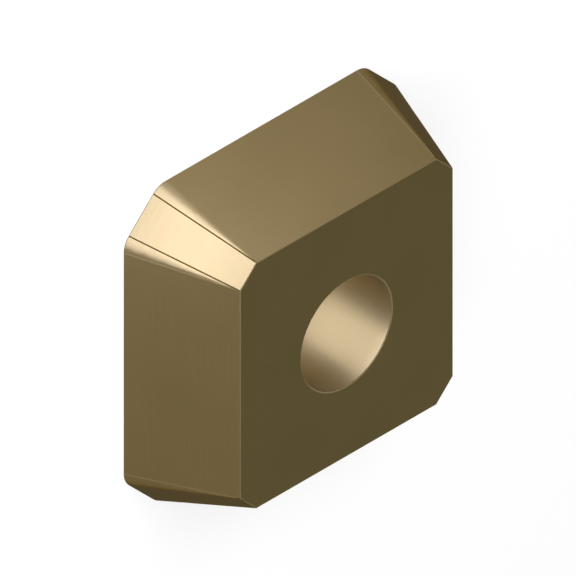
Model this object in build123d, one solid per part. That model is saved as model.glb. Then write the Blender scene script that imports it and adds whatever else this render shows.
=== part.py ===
from build123d import *
import math
import os

# Square indexable insert of coated cemented carbide, pressed, sintered and ground as one piece.
# It lies on its rake face at z = 0, with the smaller seat face up and the screw hole along Z.

# Driving dimensions, in millimetres and degrees
inscribed_circle = 12.70
thickness = 3.97
clearance_angle = 20.0
wiper_length = 1.60
corner_radius = 0.80
hole_diameter = 4.20
countersink_diameter = 5.20
countersink_angle = 60.0
hole_edge_break = 0.03
seat_edge_break = 0.025
edge_hone = 0.03

# Outline of the rake face: a square whose four corners are cut at 45 degrees by a wiper facet
blend_run = 2 * corner_radius * math.tan(math.radians(22.5))
corner_leg = (wiper_length + blend_run) / math.sqrt(2)
facet_distance = (inscribed_circle - corner_leg) / math.sqrt(2)
flank_square = Rectangle(inscribed_circle, inscribed_circle)
wiper_square = Rot(0, 0, 45) * Rectangle(2 * facet_distance, 2 * facet_distance)
rake_outline = (flank_square & wiper_square).face()

# Flanks and wiper facets all lean in by the clearance angle, up to the smaller seat face
body = extrude(rake_outline, amount=thickness, taper=clearance_angle)
seat_outline = body.faces().sort_by(Axis.Z)[-1]

# Blends between flank and facet: round at the cutting edge, running out to a point at the seat
rounded_outline = fillet(rake_outline.vertices(), corner_radius)
blend_cuts = []
for sliver in (rake_outline - rounded_outline).faces():
    seat_corner = seat_outline.vertices().sort_by_distance(sliver.center())[0]
    blend_cuts.append(loft([sliver, seat_corner]))
body -= blend_cuts

# Cutting edge, honed round all the way along
body = fillet(body.faces().sort_by(Axis.Z)[0].edges(), edge_hone)

# Edge round the seat, lightly broken at the same angle to the seat as to the flanks
break_angle = (90 + clearance_angle) / 2
broken_seat = offset(seat_outline, -seat_edge_break)
body &= extrude(broken_seat, amount=-thickness, taper=-break_angle)

# Screw hole: plain through the seat side, with the screw head's countersink in the rake face
half_angle = math.radians(countersink_angle / 2)
countersink_depth = (countersink_diameter - hole_diameter) / 2 / math.tan(half_angle)
hole_profile = Polyline(
    (0, 0),
    (countersink_diameter / 2, 0),
    (hole_diameter / 2, countersink_depth),
    (hole_diameter / 2, thickness - hole_edge_break),
    (hole_diameter / 2 + hole_edge_break, thickness),
    (0, thickness),
    close=True,
)
body -= revolve(Plane.XZ * make_face(hole_profile), Axis.Z)

insert = body.solid()
insert.label = "carbide_insert"

os.makedirs("parts", exist_ok=True)
export_step(insert, "parts/carbide_insert.step")
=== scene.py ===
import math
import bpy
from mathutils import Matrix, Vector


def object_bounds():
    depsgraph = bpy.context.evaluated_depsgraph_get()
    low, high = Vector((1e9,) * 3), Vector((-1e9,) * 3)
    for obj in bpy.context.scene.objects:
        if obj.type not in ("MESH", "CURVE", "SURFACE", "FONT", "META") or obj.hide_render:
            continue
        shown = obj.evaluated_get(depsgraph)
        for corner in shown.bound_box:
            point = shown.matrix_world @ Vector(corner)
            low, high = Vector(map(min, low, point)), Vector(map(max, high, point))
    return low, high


bl_info = {
    "name": "Coated carbide insert",
    "version": (1, 0, 0),
    "blender": (4, 5, 0),
    "location": "3D View > Sidebar > Insert",
    "description": "Coated finish, studio and camera for a square indexable insert",
    "category": "Object",
}

import bpy
from bpy.props import FloatProperty, FloatVectorProperty, PointerProperty
from mathutils import Matrix, Vector

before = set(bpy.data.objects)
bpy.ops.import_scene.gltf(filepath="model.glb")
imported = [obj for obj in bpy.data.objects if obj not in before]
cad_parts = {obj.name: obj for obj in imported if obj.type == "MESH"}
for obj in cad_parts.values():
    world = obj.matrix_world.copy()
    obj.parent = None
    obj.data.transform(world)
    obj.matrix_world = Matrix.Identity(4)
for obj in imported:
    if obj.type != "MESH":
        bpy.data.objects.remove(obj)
CAD_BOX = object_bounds()

NODE = "carbide_insert"
MM = 0.001

# The insert's own driving sizes, in mm and degrees, for the marks that follow its shape
INSCRIBED_CIRCLE = 12.70
THICKNESS = CAD_BOX[1].z / MM
CLEARANCE_ANGLE = 20
WIPER_LENGTH = 1.60
CORNER_RADIUS = 0.80

# The hole and its countersink lie inside the first radius. A ring round the hole has the second,
# and is as wide as the hole's broken edge; it is painted pale, a painted highlight on that edge.
HOLE_REACH = 2.62
RIM_RADIUS = 2.12
RIM_WIDTH = 0.03

# Flanks and facets are sides of an octagon, whose neighbours turn by twice this angle
HALF_CORNER = math.radians(22.5)

# A finish covers the faces whose normal points up as much as its own does, within these margins
SIDE_MARGIN = 0.08
EDGE_MARGIN = 0.15

# Inside the reach of the hole, faces whose normal points up less than this are the hole's own
HOLE_FACE_UP = 0.5

# Places are scaled by this before the noise, which draws it out into long level streaks
STREAK_STRETCH = (0.03, 0.03, 1)

# Blender's noise keeps mostly between these two values
NOISE_LOW = 0.3
NOISE_HIGH = 0.7

# How finely the noise is broken up, in the marks of the tools and in the coating's clouds
MARK_DETAIL = 2.0
CLOUD_DETAIL = 3.0

# The hole's tangent runs round its wall. Turned by a quarter, it stretches the highlight along
# the hole, as marks round the wall do.
LAY_TURN = 0.25

# At this weight each corner of the mesh takes the normal of its largest face
LARGEST_FACE = 100

# The picture is an exact isometric view of the seat face, 576 pixels wide
PICTURE_WIDTH = 576
SEAT_CENTRE_PIXEL = (346.7, 333.7)
CAMERA_DISTANCE = 60 * MM
CLIP_START = 1 * MM
CLIP_END = 2.0

# Softboxes: name, azimuth and elevation in degrees, distance, width and height in mm, brightness,
# colour. A brightness of 1 looks white in a mirror.
SOFTBOXES = (
    ("high_softbox", 42, 48, 400, 600, 160, 11.6, "E8ECFF"),
    ("back_softbox", 225, 35, 400, 160, 160, 0.87, "E7F6FF"),
    ("low_card", 44, 9.8, 18, 24, 5.4, 14.4, "BFCAFF"),
    ("flank_card", -14, 10, 35, 10, 10, 5.5, "D6DCFF"),
)


def linear(hex_colour):
    """An sRGB hex colour as linear red, green and blue."""
    channels = [int(hex_colour[i:i + 2], 16) / 255 for i in (0, 2, 4)]
    return [c / 12.92 if c <= 0.04045 else ((c + 0.055) / 1.055) ** 2.4 for c in channels]


def direction(azimuth, elevation):
    """The unit vector from the insert towards a place round it; azimuth 0 is on the -Y side."""
    a = math.radians(azimuth)
    e = math.radians(elevation)
    return Vector((math.sin(a) * math.cos(e), -math.cos(a) * math.cos(e), math.sin(e)))


def add_node(tree, kind, inputs=None, **settings):
    """Adds a node, sets its properties, and sets its inputs to values or links them to sockets."""
    node = tree.nodes.new(kind)
    for name, value in settings.items():
        setattr(node, name, value)
    for name, value in (inputs or {}).items():
        if isinstance(value, bpy.types.NodeSocket):
            tree.links.new(value, node.inputs[name])
        else:
            node.inputs[name].default_value = value
    return node


def new_material(name):
    """An empty node material and its output node."""
    material = bpy.data.materials.new(name)
    material.use_nodes = True
    material.node_tree.nodes.clear()
    return material, add_node(material.node_tree, "ShaderNodeOutputMaterial")


class CoatingSettings(bpy.types.PropertyGroup):
    """Colours, roughness and pattern sizes of the insert's coated surface."""

    colour: FloatVectorProperty(
        name="Coating", description="Colour of the nitride coating",
        subtype="COLOR", size=3, min=0, max=1, default=linear("826F48"),
    )
    thin_colour: FloatVectorProperty(
        name="Thin coating", description="Colour where the coating is a little thinner",
        subtype="COLOR", size=3, min=0, max=1, default=linear("796842"),
    )
    # The broken edges and, fainter, the flank lines are painted this paler colour: a painted highlight
    # along them
    edge_highlight_colour: FloatVectorProperty(
        name="Broken edge", description="Colour of the coating on the broken edges",
        subtype="COLOR", size=3, min=0, max=1, default=linear("907F52"),
    )
    line_colour: FloatVectorProperty(
        name="Witness line", description="Colour of the line where a facet's grinding ends",
        subtype="COLOR", size=3, min=0, max=1, default=linear("6E5827"),
    )
    # The hole's wall and the ring round it are painted this pale colour: a painted highlight, the lit
    # band of a wall that has the coating's own colour
    bore_and_rim_highlight_colour: FloatVectorProperty(
        name="Bore", description="Colour of the coating in the hole",
        subtype="COLOR", size=3, min=0, max=1, default=linear("CDB98E"),
    )
    grazing_tint: FloatVectorProperty(
        name="Grazing tint", description="Reflection at a grazing angle, as a share of a plain metal's",
        subtype="COLOR", size=3, min=0, max=1, default=(0.21, 0.235, 0.28),
    )
    smooth_roughness: FloatProperty(
        name="Smooth", description="Roughness of the smoothest marks of the ground faces",
        min=0, max=1, default=0.41,
    )
    coarse_roughness: FloatProperty(
        name="Coarse", description="Roughness of the coarsest marks of the ground faces",
        min=0, max=1, default=0.44,
    )
    edge_roughness: FloatProperty(
        name="Edges", description="Roughness of the broken edges and of the witness lines",
        min=0, max=1, default=1.0,
    )
    bore_roughness: FloatProperty(
        name="Hole", description="Roughness of the unground wall of the hole",
        min=0, max=1, default=0.7,
    )
    bore_lay: FloatProperty(
        name="Hole lay", description="How much the marks round the hole stretch its highlight",
        min=0, max=1, default=0.92,
    )
    # How strongly the ring round the hole is painted pale, as a painted highlight on its broken edge
    rim_highlight_show: FloatProperty(
        name="Ring round the hole", description="How much the ring round the hole shows",
        min=0, max=1, default=0.3,
    )
    flank_line_show: FloatProperty(
        name="Flank lines", description="How much the lines where the flanks' grinding ends show",
        min=0, max=1, default=0.4,
    )
    line_width: FloatProperty(
        name="Line width", description="Width of the witness lines",
        subtype="DISTANCE", precision=6, min=0, default=0.05 * MM,
    )
    lay_spacing: FloatProperty(
        name="Grinding lay", description="Spacing of the grinding marks along the flanks",
        subtype="DISTANCE", precision=6, min=0, default=0.07 * MM,
    )
    grain_size: FloatProperty(
        name="Grain", description="Grain of the lapped and of the unground faces",
        subtype="DISTANCE", precision=6, min=0, default=0.05 * MM,
    )
    mark_depth: FloatProperty(
        name="Mark depth", description="Depth of the grinding marks and of the grain",
        subtype="DISTANCE", precision=6, min=0, default=0.004 * MM,
    )
    mark_strength: FloatProperty(
        name="Mark strength", description="How much of the marks' depth is seen",
        min=0, max=1, default=0.6,
    )
    cloud_size: FloatProperty(
        name="Cloud size", description="Distance over which the coating's colour drifts",
        subtype="DISTANCE", precision=6, min=0.1 * MM, default=3 * MM,
    )


class StudioSettings(bpy.types.PropertyGroup):
    """Floor, room light and picture scale."""

    floor_width: FloatProperty(
        name="Floor width", description="Width of the square floor",
        subtype="DISTANCE", min=0.1, default=1.6,
    )
    floor_colour: FloatVectorProperty(
        name="Floor", description="Colour of the floor",
        subtype="COLOR", size=3, min=0, max=1, default=linear("F0EADB"),
    )
    floor_white: FloatProperty(
        name="Plain white", description="Share of the floor that is plain white, whatever the light",
        min=0, max=1, default=0.72,
    )
    sky: FloatProperty(
        name="Room", description="Brightness of the room round the floor, as the insert mirrors it",
        min=0, max=2, default=0.2,
    )
    pixels_per_mm: FloatProperty(
        name="Picture scale", description="Pixels of the 576 pixel picture for each mm",
        min=1, max=500, default=30.65,
    )


def witness_lines(tree, in_mm, sides, width):
    """1 on the fine lines beside each corner blend: those of the facets, then those of the flanks.

    Facets and flanks are the sides of an octagon that shrinks with height because they lean in. The
    blends take a share of each side at the rake face and run out to nothing at the seat face, so
    each line is straight from one to the other.
    """
    blend_run = CORNER_RADIUS * math.tan(HALF_CORNER)
    corner_leg = (WIPER_LENGTH + 2 * blend_run) / math.sqrt(2)
    lean = math.tan(math.radians(CLEARANCE_ANGLE))
    shrink = lean * math.tan(HALF_CORNER) - blend_run / THICKNESS
    half_facet = WIPER_LENGTH / 2
    half_flank = INSCRIBED_CIRCLE / 2 - corner_leg - blend_run

    folded = add_node(tree, "ShaderNodeVectorMath", {0: in_mm}, operation="ABSOLUTE").outputs[0]
    x, y, z = add_node(tree, "ShaderNodeSeparateXYZ", {0: folded}).outputs
    uneven = add_node(tree, "ShaderNodeMath", {0: x, 1: y}, operation="SUBTRACT").outputs[0]
    uneven = add_node(tree, "ShaderNodeMath", {0: uneven}, operation="ABSOLUTE").outputs[0]
    along_facet = add_node(tree, "ShaderNodeMath", {0: uneven, 1: math.sqrt(0.5)},
                           operation="MULTIPLY").outputs[0]
    along_flank = add_node(tree, "ShaderNodeMath", {0: x, 1: y}, operation="MINIMUM").outputs[0]
    lines = []
    for along, half_side in ((along_facet, half_facet), (along_flank, half_flank)):
        at_rake = add_node(tree, "ShaderNodeMath", {0: z, 1: shrink, 2: along},
                           operation="MULTIPLY_ADD").outputs[0]
        line = add_node(tree, "ShaderNodeMath", {0: at_rake, 1: half_side, 2: width / 2},
                        operation="COMPARE").outputs[0]
        line = add_node(tree, "ShaderNodeMath", {0: line, 1: sides}, operation="MULTIPLY").outputs[0]
        lines.append(line)
    return lines


def coated_carbide(coating):
    """Ground cemented carbide under a vapour-deposited nitride coating.

    It looks like satin bronze: a metal whose highlights are broad and soft, with fine marks along
    the ground flanks, a fine grain on the lapped faces, a thin dark line where each ground facet
    ends, and a matt, unground hole. Its broken edges, faint lines by the flank blends, a ring round
    the hole and the hole's wall are painted pale: painted highlights.
    """
    material, output = new_material("nitride_coated_ground_carbide")
    tree = material.node_tree
    place = add_node(tree, "ShaderNodeTexCoord").outputs["Object"]
    in_mm = add_node(tree, "ShaderNodeVectorMath", {0: place, "Scale": 1 / MM},
                     operation="SCALE").outputs[0]
    normal = add_node(tree, "ShaderNodeNewGeometry").outputs["True Normal"]
    upward = add_node(tree, "ShaderNodeSeparateXYZ", {0: normal}).outputs["Z"]

    # Where the finishes are: 1 on the leaning sides, on the broken edges and in the hole. The edge
    # round the seat face is broken halfway between that face and the leaning sides.
    side_up = math.sin(math.radians(CLEARANCE_ANGLE))
    edge_up = math.cos(math.radians(90 - CLEARANCE_ANGLE) / 2)
    sides = add_node(tree, "ShaderNodeMath", {0: upward, 1: side_up, 2: SIDE_MARGIN},
                     operation="COMPARE").outputs[0]
    edges = add_node(tree, "ShaderNodeMath", {0: upward, 1: edge_up, 2: EDGE_MARGIN},
                     operation="COMPARE").outputs[0]
    level = add_node(tree, "ShaderNodeVectorMath", {0: in_mm, 1: (1, 1, 0)},
                     operation="MULTIPLY").outputs[0]
    radius = add_node(tree, "ShaderNodeVectorMath", {0: level}, operation="LENGTH").outputs["Value"]
    near_axis = add_node(tree, "ShaderNodeMath", {0: radius, 1: HOLE_REACH},
                         operation="LESS_THAN").outputs[0]
    not_up = add_node(tree, "ShaderNodeMath", {0: upward, 1: HOLE_FACE_UP},
                      operation="LESS_THAN").outputs[0]
    in_hole = add_node(tree, "ShaderNodeMath", {0: near_axis, 1: not_up},
                       operation="MULTIPLY").outputs[0]
    facet_lines, flank_lines = witness_lines(tree, in_mm, sides, coating.line_width / MM)
    # A thin ring round the hole, painted pale: a painted highlight on the hole's broken edge. Its
    # roughness is real.
    rim_highlight = add_node(tree, "ShaderNodeMath", {0: radius, 1: RIM_RADIUS, 2: RIM_WIDTH / 2},
                   operation="COMPARE").outputs[0]
    rim_highlight = add_node(tree, "ShaderNodeMath", {0: rim_highlight, 1: coating.rim_highlight_show},
                   operation="MULTIPLY").outputs[0]
    # The broken edges and, fainter, the flank lines are painted paler, a painted highlight along them.
    # Their high roughness is real.
    faint = add_node(tree, "ShaderNodeMath", {0: flank_lines, 1: coating.flank_line_show},
                     operation="MULTIPLY").outputs[0]
    pale_highlight_edges = add_node(tree, "ShaderNodeMath", {0: edges, 1: faint}, operation="MAXIMUM").outputs[0]
    matt = add_node(tree, "ShaderNodeMath", {0: pale_highlight_edges, 1: rim_highlight}, operation="MAXIMUM").outputs[0]
    matt = add_node(tree, "ShaderNodeMath", {0: matt, 1: facet_lines}, operation="MAXIMUM").outputs[0]

    # Marks of the tools: long fine streaks along the sides, a grain with no direction elsewhere.
    # Real ones are a few hundredths of this size. These are as coarse as they must be to show.
    long_way = add_node(tree, "ShaderNodeVectorMath", {0: in_mm, 1: STREAK_STRETCH},
                        operation="MULTIPLY").outputs[0]
    streaks = add_node(tree, "ShaderNodeTexNoise", {
        "Vector": long_way,
        "Scale": MM / coating.lay_spacing,
        "Detail": MARK_DETAIL,
    }).outputs["Fac"]
    grain = add_node(tree, "ShaderNodeTexNoise", {
        "Vector": in_mm,
        "Scale": MM / coating.grain_size,
        "Detail": MARK_DETAIL,
    }).outputs["Fac"]
    marks = add_node(tree, "ShaderNodeMix", {
        "Factor": sides,
        "A": grain,
        "B": streaks,
    }).outputs["Result"]
    bump = add_node(tree, "ShaderNodeBump", {
        "Strength": coating.mark_strength,
        "Distance": coating.mark_depth,
        "Height": marks,
    }).outputs["Normal"]

    # The coating's thickness drifts over a few millimetres, and its colour with it
    cloud = add_node(tree, "ShaderNodeTexNoise", {
        "Vector": in_mm,
        "Scale": MM / coating.cloud_size,
        "Detail": CLOUD_DETAIL,
    }).outputs["Fac"]
    colour = add_node(tree, "ShaderNodeMix", {
        "Factor": cloud,
        "A": [*coating.colour, 1],
        "B": [*coating.thin_colour, 1],
    }, data_type="RGBA").outputs["Result"]
    paints = (
        # painted highlight on the broken edges and the flank lines
        (pale_highlight_edges, coating.edge_highlight_colour),
        # painted highlight on the ring round the hole
        (rim_highlight, coating.bore_and_rim_highlight_colour),
        (facet_lines, coating.line_colour),
    )
    for where, paint in paints:
        colour = add_node(tree, "ShaderNodeMix", {"Factor": where, "A": colour, "B": [*paint, 1]},
                          data_type="RGBA").outputs["Result"]
    roughness = add_node(tree, "ShaderNodeMapRange", {
        "Value": marks,
        "From Min": NOISE_LOW,
        "From Max": NOISE_HIGH,
        "To Min": coating.smooth_roughness,
        "To Max": coating.coarse_roughness,
    }).outputs["Result"]
    roughness = add_node(tree, "ShaderNodeMix", {
        "Factor": matt,
        "A": roughness,
        "B": coating.edge_roughness,
    }).outputs["Result"]

    ground = add_node(tree, "ShaderNodeBsdfPrincipled", {
        "Base Color": colour,
        "Metallic": 1.0,
        "Roughness": roughness,
        "Specular Tint": [*coating.grazing_tint, 1],
        "Normal": bump,
    })
    around = add_node(tree, "ShaderNodeTangent", direction_type="RADIAL", axis="Z")
    # The hole's wall is matt and unground; its pale colour is a painted highlight, the lit band of the
    # wall
    unground = add_node(tree, "ShaderNodeBsdfPrincipled", {
        "Base Color": [*coating.bore_and_rim_highlight_colour, 1],
        "Metallic": 1.0,
        "Roughness": coating.bore_roughness,
        "Anisotropic": coating.bore_lay,
        "Anisotropic Rotation": LAY_TURN,
        "Specular Tint": [*coating.grazing_tint, 1],
        "Tangent": around.outputs["Tangent"],
        "Normal": bump,
    })
    metal = add_node(tree, "ShaderNodeMixShader", {
        0: in_hole,
        1: ground.outputs[0],
        2: unground.outputs[0],
    })
    tree.links.new(metal.outputs[0], output.inputs["Surface"])
    return material


def studio_floor(studio):
    """Matt white paper: it stays white under the softboxes and keeps the soft shadow."""
    material, output = new_material("matt_white_paper")
    tree = material.node_tree
    paper = add_node(tree, "ShaderNodeBsdfDiffuse", {"Color": [*studio.floor_colour, 1]})
    white = add_node(tree, "ShaderNodeEmission", {"Strength": 1.0})
    ray = add_node(tree, "ShaderNodeLightPath")
    seen = ray.outputs["Is Camera Ray"]
    for also_seen in ("Is Glossy Ray", "Is Transmission Ray"):
        seen = add_node(tree, "ShaderNodeMath", {0: seen, 1: ray.outputs[also_seen]},
                        operation="MAXIMUM").outputs[0]
    share = add_node(tree, "ShaderNodeMath", {0: seen, 1: studio.floor_white},
                     operation="MULTIPLY").outputs[0]
    mixed = add_node(tree, "ShaderNodeMixShader", {
        0: share,
        1: paper.outputs[0],
        2: white.outputs[0],
    })
    tree.links.new(mixed.outputs[0], output.inputs["Surface"])
    return material


class INSERT_OT_coat(bpy.types.Operator):
    """Give the insert its coated finish"""

    bl_idname = "insert.coat"
    bl_label = "Coat the insert"

    def execute(self, context):
        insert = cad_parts[NODE]
        insert.data.materials[0] = coated_carbide(context.scene.insert_coating)
        normals = insert.modifiers.new("flat_faces_stay_flat", "WEIGHTED_NORMAL")
        normals.weight = LARGEST_FACE
        normals.keep_sharp = True
        return {"FINISHED"}


class INSERT_OT_stage(bpy.types.Operator):
    """Set up the floor, the sky, the softboxes and the camera"""

    bl_idname = "insert.stage"
    bl_label = "Set the stage"

    def execute(self, context):
        studio = context.scene.insert_studio
        self.add_floor(context, studio)
        self.add_sky(context, studio)
        for softbox in SOFTBOXES:
            self.add_softbox(context, *softbox)
        self.add_camera(context, studio)
        context.scene.view_settings.view_transform = "Standard"
        return {"FINISHED"}

    def add_floor(self, context, studio):
        bpy.ops.mesh.primitive_plane_add(size=studio.floor_width)
        floor = context.object
        floor.name = "floor"
        floor.data.materials.append(studio_floor(studio))

    def add_sky(self, context, studio):
        world = bpy.data.worlds.new("studio")
        world.use_nodes = True
        background = world.node_tree.nodes["Background"]
        background.inputs["Color"].default_value = (1, 1, 1, 1)

        # The floor fills the picture. Past its edge the camera sees the same white, and the metal
        # mirrors a dim room, because a white one makes the seat face far too bright.
        ray = add_node(world.node_tree, "ShaderNodeLightPath").outputs["Is Camera Ray"]
        strength = add_node(world.node_tree, "ShaderNodeMath", {0: ray, 1: studio.sky},
                            operation="MAXIMUM").outputs[0]
        world.node_tree.links.new(strength, background.inputs["Strength"])
        context.scene.world = world

    def add_softbox(self, context, name, azimuth, elevation, distance, width, height,
                    brightness, colour):
        lamp = bpy.data.lights.new(name, "AREA")
        lamp.shape = "RECTANGLE"
        lamp.size = width * MM
        lamp.size_y = height * MM
        lamp.color = linear(colour)

        # The power of a flat lamp is its brightness times pi times its area
        lamp.energy = brightness * math.pi * lamp.size * lamp.size_y
        softbox = bpy.data.objects.new(name, lamp)
        towards = direction(azimuth, elevation)
        softbox.location = towards * distance * MM
        softbox.rotation_euler = towards.to_track_quat("Z", "Y").to_euler()
        softbox.visible_camera = False
        context.scene.collection.objects.link(softbox)

    def add_camera(self, context, studio):
        lens = bpy.data.cameras.new("camera")
        lens.type = "ORTHO"
        lens.ortho_scale = PICTURE_WIDTH / studio.pixels_per_mm * MM
        lens.clip_start = CLIP_START
        lens.clip_end = CLIP_END
        back = Vector((1, -1, 1)).normalized()
        right = Vector((-1, 0, 1)).normalized()
        up = back.cross(right)
        seat_centre = Vector((0, 0, CAD_BOX[1].z))
        middle = PICTURE_WIDTH / 2
        shift_right = (SEAT_CENTRE_PIXEL[0] - middle) / studio.pixels_per_mm * MM
        shift_down = (SEAT_CENTRE_PIXEL[1] - middle) / studio.pixels_per_mm * MM
        in_view = seat_centre - right * shift_right + up * shift_down
        place = in_view + back * CAMERA_DISTANCE
        turn = Matrix((right, up, back)).transposed().to_4x4()
        camera = bpy.data.objects.new("camera", lens)
        camera.matrix_world = Matrix.Translation(place) @ turn
        context.scene.collection.objects.link(camera)
        context.scene.camera = camera


class INSERT_PT_panel(bpy.types.Panel):
    """The steps and settings in the 3D view's sidebar"""

    bl_label = "Carbide insert"
    bl_idname = "INSERT_PT_panel"
    bl_space_type = "VIEW_3D"
    bl_region_type = "UI"
    bl_category = "Insert"

    def draw(self, context):
        steps = (
            (INSERT_OT_coat, context.scene.insert_coating),
            (INSERT_OT_stage, context.scene.insert_studio),
        )
        for operator, settings in steps:
            box = self.layout.box()
            for name in settings.__annotations__:
                box.prop(settings, name)
            box.operator(operator.bl_idname)


CLASSES = (CoatingSettings, StudioSettings, INSERT_OT_coat, INSERT_OT_stage, INSERT_PT_panel)


def register():
    for item in CLASSES:
        bpy.utils.register_class(item)
    bpy.types.Scene.insert_coating = PointerProperty(type=CoatingSettings)
    bpy.types.Scene.insert_studio = PointerProperty(type=StudioSettings)


def unregister():
    del bpy.types.Scene.insert_studio
    del bpy.types.Scene.insert_coating
    for item in reversed(CLASSES):
        bpy.utils.unregister_class(item)


def main():
    register()
    bpy.ops.insert.coat()
    bpy.ops.insert.stage()


if __name__ == "__main__":
    main()
